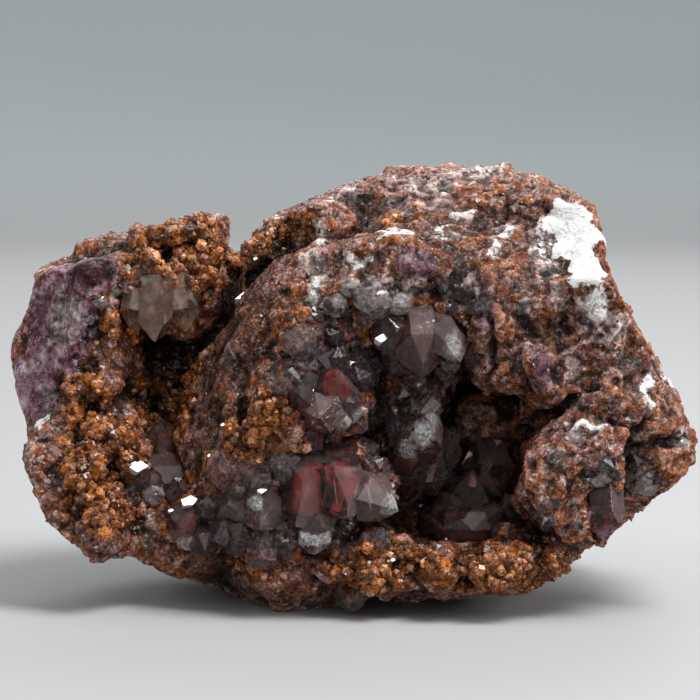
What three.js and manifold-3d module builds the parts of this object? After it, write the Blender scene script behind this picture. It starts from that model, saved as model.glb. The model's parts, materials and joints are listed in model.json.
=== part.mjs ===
// Quartz on barite: a hand specimen of platy barite, rusted and crusted with small quartz,
// with two open pockets at the front and larger see-through quartz crystals seated in and around them.
// Millimetres, +Z up. The front, with the pockets, faces -Y. The origin is on the ground, under the
// middle of the specimen.
import * as THREE from "three";
import { mergeVertices } from "three/addons/utils/BufferGeometryUtils.js";
import { ImprovedNoise } from "three/addons/math/ImprovedNoise.js";
import Module from "manifold-3d";

const wasm = await Module();
wasm.setup();

// ---------------------------------------------------------------- driving dimensions

const SEAT_GAP = 0.3; // between a crystal and the socket it sits in
const TIP_SPREAD = 0.3; // how unevenly a crystal's tip faces are set back, by its width
const LARGE_FACE = 0.35; // every other tip face is larger, set back by only this share of that
const FLATTENING = 0.12; // how unevenly a crystal's sides are set in, by its width
const RHOMB_LEAN = THREE.MathUtils.degToRad(51.8); // how far a quartz tip's faces lean from level
const TURN_STEP = 37; // degrees, from one crystal of a cluster to the next, about its own length
const LINING_SWELL = 1.3; // a lining's corners grow by more than its faces do
const LUMP_SINK = 0.25; // how deep a lump is sunk into the rock, by its radius
const FOOT_Z = 0; // the flat the specimen rests on
const WEATHERING = [[15, 2.2], [6, 1.7], [3, 0.9]]; // size and height of the rock's unevenness
const DEPTH_WEATHERING = 2; // how much more uneven the rock is from front to back
const CORNER_LOSS = [0.92, 1.12]; // how far out the flats lie that knock a block's corners off
const MERGE = 1e-4; // corners of one solid that are nearer than this are one

// ---------------------------------------------------------------- solids from three.js shapes

const noise = new ImprovedNoise();

/** A closed three.js geometry as a manifold-3d solid. */
function solidOf(geometry) {
  const bare = geometry.index ? geometry.toNonIndexed() : geometry.clone();
  bare.deleteAttribute("normal");
  bare.deleteAttribute("uv");
  const merged = mergeVertices(bare, MERGE);
  return new wasm.Manifold(
    new wasm.Mesh({
      numProp: 3,
      vertProperties: new Float32Array(merged.attributes.position.array),
      triVerts: new Uint32Array(merged.index.array),
    }),
  );
}

/** A manifold-3d solid as a three.js geometry. */
function geometryOf(solid) {
  const mesh = solid.getMesh();
  const positions = new Float32Array(mesh.numVert * 3);
  for (let i = 0; i < mesh.numVert; i++) {
    positions.set(mesh.vertProperties.subarray(i * mesh.numProp, i * mesh.numProp + 3), i * 3);
  }
  const geometry = new THREE.BufferGeometry();
  geometry.setAttribute("position", new THREE.BufferAttribute(positions, 3));
  geometry.setIndex(new THREE.BufferAttribute(new Uint32Array(mesh.triVerts), 1));
  return geometry;
}

function union(solids) {
  return solids.reduce((whole, solid) => whole.add(solid));
}

/** The largest body of a solid, without crumbs that its cuts set loose. */
function mainBody(solid) {
  return solid.decompose().reduce((largest, body) => (body.volume() > largest.volume() ? body : largest));
}

/** Numbers from 0 to 1 that are the same on every run. */
function dice(seed) {
  THREE.MathUtils.seededRandom(seed);
  return () => THREE.MathUtils.seededRandom();
}

function direction(roll) {
  const z = 2 * roll() - 1;
  const turn = 2 * Math.PI * roll();
  const flat = Math.sqrt(1 - z * z);
  return new THREE.Vector3(flat * Math.cos(turn), flat * Math.sin(turn), z);
}

/** Moves a point a little by broad and fine unevenness, the same way for the whole rock. */
function weather(point) {
  const push = new THREE.Vector3();
  for (const [size, height] of WEATHERING) {
    const p = point.clone().divideScalar(size);
    push.x += height * noise.noise(p.x + 3.1, p.y, p.z);
    push.y += DEPTH_WEATHERING * height * noise.noise(p.x, p.y + 5.7, p.z + 9.2);
    push.z += height * noise.noise(p.x + 8.4, p.y + 2.6, p.z);
  }
  return point.add(push);
}

/**
 * A broken block of rock. It reaches left, right, front, back, down and up from its centre,
 * its corners are knocked off by random flats, and lean tips it towards +X.
 * Each cut is a flat with its own direction and distance from the centre.
 */
function block({
  at, left, right, front, back, down, up, lean = 0, seed, detail = 2, flats = 14, hard = 14, cuts = [],
}) {
  const roll = dice(seed);
  const [nearest, farthest] = CORNER_LOSS;
  const sides = [
    [new THREE.Vector3(-1, 0, 0), left],
    [new THREE.Vector3(1, 0, 0), right],
    [new THREE.Vector3(0, -1, 0), front],
    [new THREE.Vector3(0, 1, 0), back],
    [new THREE.Vector3(0, 0, -1), down],
    [new THREE.Vector3(0, 0, 1), up],
  ];
  for (let i = 0; i < flats; i++) {
    const n = direction(roll);
    const reach = Math.hypot(
      n.x * (n.x < 0 ? left : right),
      n.y * (n.y < 0 ? front : back),
      n.z * (n.z < 0 ? down : up),
    );
    sides.push([n, reach * THREE.MathUtils.lerp(nearest, farthest, roll())]);
  }
  for (const [x, y, z, reach] of cuts) {
    sides.push([new THREE.Vector3(x, y, z).normalize(), reach]);
  }
  const middle = new THREE.Vector3(...at);
  const tilt = new THREE.Euler(0, THREE.MathUtils.degToRad(lean), 0);
  const geometry = new THREE.IcosahedronGeometry(1, detail);
  const places = geometry.attributes.position;
  const ray = new THREE.Vector3();
  const place = new THREE.Vector3();
  for (let i = 0; i < places.count; i++) {
    ray.fromBufferAttribute(places, i).normalize();
    const nearness = sides.reduce((sum, [n, reach]) => sum + Math.max(0, ray.dot(n) / reach) ** hard, 0);
    place.copy(ray).multiplyScalar(nearness ** (-1 / hard));
    weather(place.applyEuler(tilt).add(middle));
    places.setXYZ(i, place.x, place.y, place.z);
  }
  return solidOf(geometry);
}

/**
 * A quartz crystal: a six-sided prism whose tip is cut by six leaning faces that don't quite meet
 * in one point. It is placed by its tip and the way it points. Across is measured between two
 * opposite sides, and grow swells it all round, which gives the socket that it sits in.
 */
function quartzPoint({ tip, toward, across, length, spin, seed, grow }) {
  const roll = dice(seed);
  const halfAcross = across / 2 + grow;
  const foot = length + grow;
  const prism = new THREE.CylinderGeometry(
    halfAcross / Math.cos(Math.PI / 6), halfAcross / Math.cos(Math.PI / 6), foot + grow, 6,
  );
  prism.rotateX(Math.PI / 2);
  prism.translate(0, 0, (grow - foot) / 2);
  let crystal = solidOf(prism);
  for (let side = 0; side < 6; side++) {
    const turn = Math.PI / 6 + (side * Math.PI) / 3;
    const [x, y] = [Math.sin(turn), -Math.cos(turn)];
    const setBack = TIP_SPREAD * across * roll() * (side % 2 ? 1 : LARGE_FACE);
    const lean = [x * Math.sin(RHOMB_LEAN), y * Math.sin(RHOMB_LEAN), Math.cos(RHOMB_LEAN)];
    crystal = crystal.trimByPlane(lean.map((part) => -part), setBack * Math.cos(RHOMB_LEAN) - grow);
    const flatter = halfAcross - FLATTENING * across * roll();
    crystal = crystal.trimByPlane([-x, -y, 0], -flatter);
  }
  const way = new THREE.Vector3(...toward).normalize();
  const upright = new THREE.Vector3(0, 0, 1);
  const turned = new THREE.Quaternion().setFromUnitVectors(upright, way);
  turned.multiply(new THREE.Quaternion().setFromAxisAngle(upright, THREE.MathUtils.degToRad(spin)));
  const placed = new THREE.Matrix4().compose(new THREE.Vector3(...tip), turned, new THREE.Vector3(1, 1, 1));
  const geometry = geometryOf(crystal);
  geometry.applyMatrix4(placed);
  return solidOf(geometry);
}

/** Crystals grown together, swollen by grow. */
function cluster(points, grow = 0) {
  return union(points.map((point, i) => quartzPoint({ seed: i + 1, spin: TURN_STEP * i, ...point, grow })));
}

/** Where a ray first meets a solid from outside, and the way the solid faces there. */
function surfaceAt(target, from, along) {
  const [hit] = new THREE.Raycaster(from, along).intersectObject(target);
  return hit && { place: hit.point, facing: hit.face.normal };
}

/** A mesh that rays can be cast at. */
function targetOf(solid) {
  return new THREE.Mesh(geometryOf(solid), new THREE.MeshBasicMaterial());
}

// ---------------------------------------------------------------- the rock mass

/** Breaks a mass off at flats, each with the way it faces and its distance from the origin. */
function broken(solid, flats) {
  return flats.reduce((left, [x, y, z, reach]) => {
    const n = new THREE.Vector3(x, y, z);
    const size = n.length();
    return left.trimByPlane([-x / size, -y / size, -z / size], -reach);
  }, solid);
}

// the high block on the right: its crown, its steep front and its long slope down to the right
const crown = broken(
  union([
    broken(
      union([
        block({
          at: [16, 1, 42], left: 23, right: 32, front: 19, back: 22, down: 11, up: 20,
          seed: 11, detail: 3, cuts: [[0, -0.41, 0.91, 14], [0, -0.75, 0.66, 17]],
        }),
        block({
          at: [-1, 2, 44], left: 12, right: 14, front: 11, back: 14, down: 8, up: 13,
          seed: 13,
        }),
        block({
          at: [4, -8, 43], left: 13, right: 13, front: 10, back: 10, down: 7, up: 7,
          seed: 15,
        }),
        block({
          at: [29, -3, 47], left: 7, right: 9, front: 8, back: 9, down: 7, up: 9,
          seed: 16, flats: 6,
        }),
      ]),
      [[1, 0.1, 0.04, 34.4]],
    ),
    broken(
      block({
        at: [31, -6, 34], left: 11, right: 20, front: 13, back: 14, down: 10, up: 12,
        seed: 12, flats: 6,
      }),
      [[0.9, 0, 0.436, 50.9]],
    ),
  ]),
  [
    [-0.366, 0, 0.931, 52.4],
    [0.05, 0.12, 0.99, 59.4],
    [0.427, 0, 0.904, 63.2],
    [0.25, 0.9, 0.36, 42],
    [0.75, 0.6, 0.25, 41],
    [-0.55, 0.75, 0.35, 30],
  ],
);

// the body behind both pockets, with its middle reaching forward between them
const body = broken(
  union([
    block({
      at: [2, 13, 25], left: 38, right: 36, front: 12, back: 15, down: 23, up: 25,
      seed: 5, detail: 3, flats: 18, hard: 9,
    }),
    block({
      at: [-3, 2, 27], left: 11, right: 13, front: 13, back: 8, down: 15, up: 12,
      seed: 6, detail: 1,
    }),
  ]),
  [
    [0, 0.8, -0.6, 12.5],
    [-0.55, 0.82, 0.1, 35],
    [0.6, 0.78, -0.1, 31],
  ],
);

// the left end: a flat break above with a sharp tip, and a swelling below
const leftEnd = broken(
  union([
    broken(
      block({
        at: [-37, 0, 33], left: 14, right: 8, front: 12, back: 15, down: 15, up: 16,
        seed: 21,
      }),
      [
        [-0.62, -0.75, 0.2, 38.4],
        [-0.6, 0.75, 0.25, 39],
      ],
    ),
    block({
      at: [-44, 1, 29.5], left: 4, right: 5, front: 4, back: 7, down: 5, up: 5,
      seed: 23, detail: 1,
    }),
    block({
      at: [-34.5, -7, 17], left: 12, right: 8, front: 11, back: 16, down: 13, up: 9,
      lean: -12, seed: 22,
    }),
  ]),
  [
    [-0.959, 0, 0.284, 54.2],
    [-0.963, 0, -0.271, 36.2],
    [-0.28, -0.1, 0.95, 54.8],
    [-0.65, 0, -0.76, 17],
    [0, 0, -1, -7],
  ],
);

// the ridge along the upper left, in two humps with a notch between them
const ridge = union([
  broken(
    block({
      at: [-26, 1, 46], left: 12, right: 7.5, front: 8, back: 14, down: 12, up: 14,
      seed: 31,
    }),
    [[-0.176, 0, 0.984, 54.2]],
  ),
  broken(
    block({
      at: [-10, 3, 43], left: 6, right: 9, front: 9, back: 13, down: 14, up: 8,
      seed: 32,
    }),
    [[-0.366, 0, 0.931, 51]],
  ),
]);

// the fin that leans down from the crown to the lower left, between the two pockets
const fin = block({
  at: [-13, -8, 32], left: 6, right: 8, front: 9, back: 13, down: 23, up: 21,
  lean: 30, seed: 41,
});

// the swellings beside and under the fin that carry the front crystals
const swellings = broken(
  union([
    block({
      at: [-5, -12, 29], left: 9, right: 9, front: 9, back: 14, down: 9, up: 8,
      seed: 45,
    }),
    block({
      at: [-8, -8, 13], left: 16, right: 13, front: 13, back: 14, down: 17, up: 10,
      seed: 42,
    }),
    block({
      at: [9, -3, 26], left: 8, right: 5, front: 12, back: 12, down: 10, up: 13,
      seed: 46,
    }),
    block({
      at: [-20, -4, 12], left: 15, right: 14, front: 12, back: 14, down: 16, up: 6,
      seed: 43,
    }),
  ]),
  [[-0.42, 0, -0.907, 6.3]],
);

// the right-hand end, in lobes with deep seams between them
const lobes = broken(
  union([
    block({
      at: [30, -14, 18.5], left: 8, right: 7, front: 11, back: 16, down: 9, up: 8,
      seed: 51,
    }),
    block({
      at: [41, -9, 18.5], left: 6, right: 8, front: 10, back: 13, down: 10, up: 7,
      seed: 52,
    }),
    block({
      at: [37, -10, 27], left: 9, right: 12, front: 10, back: 14, down: 4.6, up: 8,
      seed: 53,
    }),
    block({
      at: [31, -6, 9], left: 9, right: 8, front: 10, back: 16, down: 6, up: 8,
      seed: 54, detail: 1,
    }),
    block({
      at: [34, 4, 21], left: 8, right: 9, front: 12, back: 12, down: 12, up: 14,
      seed: 55, detail: 1,
    }),
  ]),
  [
    [0.89, 0, 0.45, 51.9],
    [1, 0, 0, 46.6],
    [0.8, 0, -0.6, 24],
    [0.45, 0, -0.89, 7.8],
    [0.7, 0.7, 0.1, 37],
  ],
);

// the ledge along the foot of the front, and the underside that bears on the ground
const foot = broken(
  union([
    block({
      at: [13, -12, 7], left: 21, right: 20, front: 12, back: 14, down: 6, up: 4,
      seed: 61,
    }),
    block({
      at: [-1, 2, 8], left: 19, right: 22, front: 16, back: 20, down: 13, up: 9,
      seed: 71,
    }),
  ]),
  [
    [-0.42, 0, -0.907, 6.3],
    [0.4, 0, -0.917, 6.5],
    [0, -0.25, -0.97, 2.2],
  ],
);

// the central pocket, deep on the right and reaching left under the crystals in front
const centralPocket = union([
  block({
    at: [17.5, -13, 24], left: 5.5, right: 6, front: 16, back: 13, down: 12, up: 10,
    seed: 81,
  }),
  block({
    at: [12, -14, 13.5], left: 7, right: 9, front: 14, back: 9, down: 4.5, up: 5,
    seed: 82,
  }),
]);

const mass = union([crown, body, leftEnd, ridge, fin, swellings, lobes, foot]).subtract(centralPocket);

// ---------------------------------------------------------------- lumps grown on the rock

const FAR = 90; // how far outside the rock the rays start that find places on it
const target = targetOf(mass);
const fromFront = ([x, z]) => surfaceAt(target, new THREE.Vector3(x, -FAR, z), new THREE.Vector3(0, 1, 0));
const fromAbove = ([x, y]) => surfaceAt(target, new THREE.Vector3(x, y, FAR), new THREE.Vector3(0, 0, -1));

/** Rounded lumps, each by its place across the face it grows on, and its radius. */
const LUMPS_IN_FRONT = [
  // below the ridge on the upper left
  [-34.6, 44, 2.6], [-21, 44.4, 3.2],
  // round the left pocket and down to the lower left end
  [-33.6, 30, 3], [-31.8, 23.2, 3.6], [-35.6, 17.6, 3.8], [-33.8, 11.2, 4],
  // beside the fin
  [-14, 23.4, 3.8], [-6.8, 37.6, 4.6],
  // along the foot of the front
  [-2.6, 7, 3.2], [4, 6.8, 4.2], [11.4, 6.6, 3.4], [18.8, 6.8, 3.6], [27, 7.4, 3.6],
];
const LUMPS_ON_TOP = [
  [-28.6, -4, 2.6], [-21.5, -3, 2.4],
];

/** A knobbly lump of a radius, partly sunk into the rock. */
function lump({ place, facing }, radius, seed) {
  const roll = dice(seed);
  const geometry = new THREE.DodecahedronGeometry(radius);
  geometry.rotateX(2 * Math.PI * roll());
  geometry.rotateZ(2 * Math.PI * roll());
  geometry.translate(...place.clone().addScaledVector(facing, -LUMP_SINK * radius).toArray());
  return solidOf(geometry);
}

const lumps = [
  ...LUMPS_IN_FRONT.map(([x, z, radius], i) => lump(fromFront([x, z]), radius, 200 + i)),
  ...LUMPS_ON_TOP.map(([x, y, radius], i) => lump(fromAbove([x, y]), radius, 300 + i)),
];

// ---------------------------------------------------------------- see-through crystals

const CRYSTALS = {
  front_quartz_cluster: [
    { tip: [-7.5, -26.6, 12], toward: [-0.25, -0.8, -0.5], across: 10.5, length: 12 },
    { tip: [0, -26.2, 14.2], toward: [0.2, -0.88, -0.4], across: 9.5, length: 12 },
    { tip: [6.4, -23.2, 14.6], toward: [0.75, -0.6, -0.25], across: 7, length: 12 },
    { tip: [-16.5, -23, 14.4], toward: [-0.35, -0.9, 0.1], across: 8, length: 10 },
    { tip: [-12, -25, 12], toward: [-0.1, -0.9, -0.4], across: 7, length: 10 },
    { tip: [-4.4, -24.6, 8.2], toward: [0.1, -0.6, -0.8], across: 5, length: 9 },
    { tip: [-3.6, -25, 20.4], toward: [0, -0.85, 0.5], across: 6, length: 9 },
  ],
  middle_quartz_cluster: [
    { tip: [-7.6, -24, 31.2], toward: [-0.4, -0.85, 0.35], across: 7, length: 9 },
    { tip: [-1.6, -23.2, 33], toward: [0.15, -0.8, 0.55], across: 8, length: 10 },
    { tip: [-4.2, -25, 27], toward: [-0.1, -0.95, -0.1], across: 6.4, length: 9 },
    { tip: [1.6, -23, 27.4], toward: [0.6, -0.8, 0], across: 6.4, length: 9 },
  ],
  roof_quartz_cluster: [
    { tip: [5.2, -19.6, 34], toward: [-0.1, -0.75, -0.6], across: 6.5, length: 9 },
    { tip: [9.8, -20.2, 31.6], toward: [0.1, -0.7, -0.7], across: 8, length: 10 },
    { tip: [14.4, -19.8, 33.8], toward: [0.35, -0.7, -0.55], across: 6, length: 10 },
  ],
  frosted_quartz_point: [
    { tip: [11.4, -19.4, 28], toward: [0.3, -0.6, 0.74], across: 6.5, length: 16 },
  ],
  right_amethyst_point: [
    { tip: [33.9, -22.4, 9.2], toward: [0.05, -0.35, -0.93], across: 5.8, length: 11 },
  ],
  left_amethyst_points: [
    { tip: [-21.6, -20, 11.2], toward: [0.1, -0.9, -0.15], across: 5.2, length: 6.5 },
    { tip: [-19.2, -19.8, 7.8], toward: [0.15, -0.85, -0.4], across: 4.5, length: 6 },
  ],
  foot_quartz_point: [
    { tip: [0.8, -23.4, 2.9], toward: [0.15, -0.98, 0], across: 4.6, length: 9 },
  ],
  hanging_quartz_points: [
    { tip: [-26.2, -11, 34.6], toward: [0, -0.35, -0.93], across: 5.5, length: 10 },
    { tip: [-29.6, -10, 36.4], toward: [-0.15, -0.4, -0.9], across: 4.8, length: 8 },
    { tip: [-22.4, -9.6, 36.8], toward: [0.15, -0.4, -0.9], across: 4.6, length: 8 },
  ],
};

// The crust in each pocket: a lining with crystals standing on it, all grown together.
const CRUSTS = {
  central_pocket_quartz: {
    lining: { at: [16.4, -6, 10.6], half: [8, 9, 4.4] },
    points: [
      { tip: [17.6, -12.4, 20], toward: [0.1, -0.55, 0.8], across: 8.5, length: 13 },
      { tip: [13.4, -15.4, 15], toward: [-0.1, -0.85, 0.5], across: 6.5, length: 11 },
      { tip: [20, -15, 13.4], toward: [0.2, -0.85, 0.5], across: 6, length: 10 },
    ],
  },
  left_pocket_quartz: {
    lining: { at: [-25.2, -3.8, 16.5], half: [6.4, 8, 4.4] },
    points: [
      { tip: [-27.6, -14.6, 18.4], toward: [-0.1, -0.8, 0.6], across: 4.8, length: 9 },
      { tip: [-22.8, -14.4, 16.8], toward: [0.1, -0.85, 0.45], across: 5.2, length: 9 },
      { tip: [-26, -7, 25], toward: [-0.05, -0.4, 0.9], across: 6, length: 10 },
    ],
  },
};

function crust({ lining, points }, grow = 0) {
  const bed = new THREE.IcosahedronGeometry(1, 1);
  bed.scale(...lining.half.map((reach) => reach + LINING_SWELL * grow));
  bed.translate(...lining.at);
  return solidOf(bed).add(cluster(points, grow));
}

const grown = {
  ...Object.fromEntries(
    Object.entries(CRYSTALS).map(([name, points]) => [name, (grow) => cluster(points, grow)]),
  ),
  ...Object.fromEntries(Object.entries(CRUSTS).map(([name, form]) => [name, (grow) => crust(form, grow)])),
};

// ---------------------------------------------------------------- the specimen

const STONE = { color: 0x6e4a38, roughness: 0.75, metalness: 0 };
const QUARTZ = { color: 0x9c8d8a, roughness: 0.08, metalness: 0 };
const AMETHYST = { color: 0x73505f, roughness: 0.08, metalness: 0 };
const PURPLE = ["right_amethyst_point", "left_amethyst_points", "central_pocket_quartz"];

const specimen = new THREE.Group();
let rock = union([mass, ...lumps]).trimByPlane([0, 0, 1], FOOT_Z);
for (const [name, form] of Object.entries(grown)) {
  const finish = PURPLE.includes(name) ? AMETHYST : QUARTZ;
  const crystals = new THREE.Mesh(geometryOf(form(0)), new THREE.MeshStandardMaterial(finish));
  crystals.name = name;
  specimen.add(crystals);
  rock = rock.subtract(form(SEAT_GAP));
}
const stone = new THREE.Mesh(geometryOf(mainBody(rock)), new THREE.MeshStandardMaterial(STONE));
stone.name = "barite_matrix";
specimen.add(stone);

const middle = new THREE.Box3().setFromObject(specimen).getCenter(new THREE.Vector3());
specimen.position.set(-middle.x, -middle.y, 0);

export default specimen;
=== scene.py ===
import json
import math

import bmesh
import bpy
import numpy as np
from mathutils import Matrix, Vector, noise
from mathutils.bvhtree import BVHTree

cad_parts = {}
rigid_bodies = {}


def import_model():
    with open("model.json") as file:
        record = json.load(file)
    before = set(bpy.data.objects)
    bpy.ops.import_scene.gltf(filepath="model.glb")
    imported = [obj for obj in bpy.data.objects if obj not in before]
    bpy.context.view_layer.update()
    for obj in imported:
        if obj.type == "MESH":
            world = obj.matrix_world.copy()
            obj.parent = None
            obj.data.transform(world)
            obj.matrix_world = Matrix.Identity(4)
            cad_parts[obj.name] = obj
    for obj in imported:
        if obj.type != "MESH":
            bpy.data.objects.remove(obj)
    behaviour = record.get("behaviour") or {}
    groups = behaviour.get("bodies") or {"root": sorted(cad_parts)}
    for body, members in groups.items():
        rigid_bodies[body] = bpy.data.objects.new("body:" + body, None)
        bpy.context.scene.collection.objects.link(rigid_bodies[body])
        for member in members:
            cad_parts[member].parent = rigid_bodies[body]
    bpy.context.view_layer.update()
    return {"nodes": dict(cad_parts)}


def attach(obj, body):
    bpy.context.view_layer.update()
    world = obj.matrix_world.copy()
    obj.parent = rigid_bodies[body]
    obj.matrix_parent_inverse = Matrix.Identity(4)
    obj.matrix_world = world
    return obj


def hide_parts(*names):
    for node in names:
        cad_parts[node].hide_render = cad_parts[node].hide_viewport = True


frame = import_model()
nodes = frame["nodes"]


# ---------------------------------------------------------------- camera
# The camera stands a little above the specimen and looks at the side with the open pockets.

MM = 0.001
LOOK_AT = Vector((0, 0, 33.3)) * MM
CAMERA_DISTANCE = 367.5 * MM
CAMERA_ELEVATION = math.radians(6)
LENS = 135
CLOSEST_SEEN = 10 * MM

in_scene = bpy.context.scene.collection.objects
camera = bpy.data.objects.new("camera", bpy.data.cameras.new("camera"))
in_scene.link(camera)
bpy.context.scene.camera = camera
camera.data.lens = LENS
camera.data.clip_start = CLOSEST_SEEN
away = Vector((0, -math.cos(CAMERA_ELEVATION), math.sin(CAMERA_ELEVATION)))
camera.location = LOOK_AT + CAMERA_DISTANCE * away
camera.rotation_euler = (-away).to_track_quat("-Z", "Y").to_euler()


# ---------------------------------------------------------------- stage and light
# A pale sweep runs out flat under the specimen and curves up far outside every view. One soft light
# stands high at the right, weaker ones at both sides and behind, and two pale walls show only in
# what is glossy. The surround is dim below and brighter overhead.

FLOOR_RADIUS = 750 * MM
SWEEP_RADIUS = 350 * MM
SWEEP_STEPS = 24
SPIN_STEPS = 96
TINT_HEIGHT = 0.6 * SWEEP_RADIUS


def shader_node(tree, kind, **settings):
    """A new shader node with these settings."""
    made = tree.nodes.new("ShaderNode" + kind)
    for name, value in settings.items():
        setattr(made, name, value)
    return made


def plug(value, socket):
    """Sets a socket to a value, or links it to another node's output."""
    if isinstance(value, bpy.types.NodeSocket):
        socket.id_data.links.new(value, socket)
    else:
        socket.default_value = value


def feed(made, **inputs):
    """Sets or links a node's inputs, by name with _ for a space."""
    for name, value in inputs.items():
        plug(value, made.inputs[name.replace("_", " ")])
    return made


def ramp(value, stops):
    """Colours by value. A stop is a place from 0 to 1 and a linear colour or a grey."""
    made = shader_node(value.id_data, "ValToRGB")
    elements = made.color_ramp.elements
    while len(elements) < len(stops):
        elements.new(0.5)
    for element, (place, colour) in zip(elements, stops):
        element.position = place
        element.color = (*colour, 1) if isinstance(colour, tuple) else (colour, colour, colour, 1)
    return feed(made, Fac=value).outputs["Color"]


def span(value, low, high, to_low=0.0, to_high=1.0):
    """Value from low to high, laid on to_low to to_high and held there."""
    made = shader_node(value.id_data, "MapRange")
    feed(made, Value=value, From_Min=low, From_Max=high, To_Min=to_low, To_Max=to_high)
    return made.outputs["Result"]


def new_material(name):
    """A new material, its shader, and the place on the piece that its patterns are laid by."""
    made = bpy.data.materials.new(name)
    made.use_nodes = True
    place = shader_node(made.node_tree, "TexCoord").outputs["Object"]
    return made, made.node_tree.nodes["Principled BSDF"], place


def sweep_paint():
    """Matt pale grey that turns a little bluer as the sweep rises, and a little lighter, as painted
    light that evens out how bright the floor and the wall look.
    """
    paint, shader, place = new_material("sweep_paint")
    height = feed(shader_node(paint.node_tree, "SeparateXYZ"), Vector=place).outputs["Z"]
    colour = ramp(span(height, 0.0, TINT_HEIGHT), [
        (0, (0.42, 0.425, 0.43)), (0.12, (0.47, 0.51, 0.515)), (1, (0.47, 0.54, 0.55))])
    feed(shader, Base_Color=colour, Roughness=0.75)
    return paint


profile = bmesh.new()
points = [(0, 0), (FLOOR_RADIUS, 0)]
for step in range(1, SWEEP_STEPS + 1):
    turn = math.radians(90) * step / SWEEP_STEPS
    points.append((FLOOR_RADIUS + SWEEP_RADIUS * math.sin(turn), SWEEP_RADIUS * (1 - math.cos(turn))))
corners = [profile.verts.new((x, 0, z)) for x, z in points]
edges = [profile.edges.new(pair) for pair in zip(corners, corners[1:])]
bmesh.ops.spin(profile, geom=corners + edges, axis=(0, 0, 1), cent=(0, 0, 0), angle=math.tau,
               steps=SPIN_STEPS, use_merge=True)
bmesh.ops.remove_doubles(profile, verts=profile.verts, dist=MM)
bmesh.ops.recalc_face_normals(profile, faces=profile.faces)
sweep = bpy.data.objects.new("sweep", bpy.data.meshes.new("sweep"))
profile.to_mesh(sweep.data)
profile.free()
sweep.data.shade_smooth()
sweep.data.materials.append(sweep_paint())
in_scene.link(sweep)
sweep.visible_glossy = False


def soft_light(name, place, width, power, diffuse=True):
    """A square light of a width, in metres, that faces the specimen. One that isn't diffuse only
    shows in what is glossy, as a pale wall does."""
    lamp = bpy.data.lights.new(name, "AREA")
    lamp.size = width
    lamp.energy = power
    held = bpy.data.objects.new(name, lamp)
    held.location = place
    held.rotation_euler = (LOOK_AT - held.location).to_track_quat("-Z", "Y").to_euler()
    held.visible_diffuse = diffuse
    in_scene.link(held)


soft_light("key", (0.26, -0.15, 0.61), 0.3, 4.6)
soft_light("left", (-0.6, -0.05, 0.35), 0.22, 0.8)
soft_light("back", (0.1, 0.6, 0.5), 0.4, 1.6)
soft_light("right", (0.65, -0.1, 0.3), 0.3, 1.7)
soft_light("front_wall", (0.15, -0.95, 0.42), 0.45, 0.85, diffuse=False)
soft_light("rear_wall", (-0.2, 0.95, 0.42), 0.75, 1.6, diffuse=False)

world = bpy.data.worlds.new("surround")
bpy.context.scene.world = world
world.use_nodes = True
direction = shader_node(world.node_tree, "TexCoord").outputs["Generated"]
overhead = feed(shader_node(world.node_tree, "SeparateXYZ"), Vector=direction).outputs["Z"]
feed(world.node_tree.nodes["Background"], Strength=1.0,
     Color=ramp(overhead, [(0, 0.14), (0.25, 0.2), (1, (0.62, 0.63, 0.64))]))
bpy.context.scene.view_settings.view_transform = "Standard"


# ---------------------------------------------------------------- the rock
# Platy barite, stained red by iron and coated with small quartz. It grew as one piece: the whole
# outside is remade finer from its solid, then roughened, and its stains and some painted shade are laid
# on by place, with more painted shade in its crevices and hollows.

ROCK_VOXEL = 0.46 * MM
ROCK_SMOOTHING = 3
MOST_TRIANGLES = 190000
# Noise vectors start from the clock unless a seed is set, so it is, and every run gives the same rock.
ROCK_SEED = 1
noise.seed_set(ROCK_SEED)
# Crevices and hollows are what lies under the skin once it is smoothed this many times; the rock and
# its druse are painted darker in them, as painted shade.
CREVICE_PASSES, HOLLOW_PASSES = 10, 90
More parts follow.
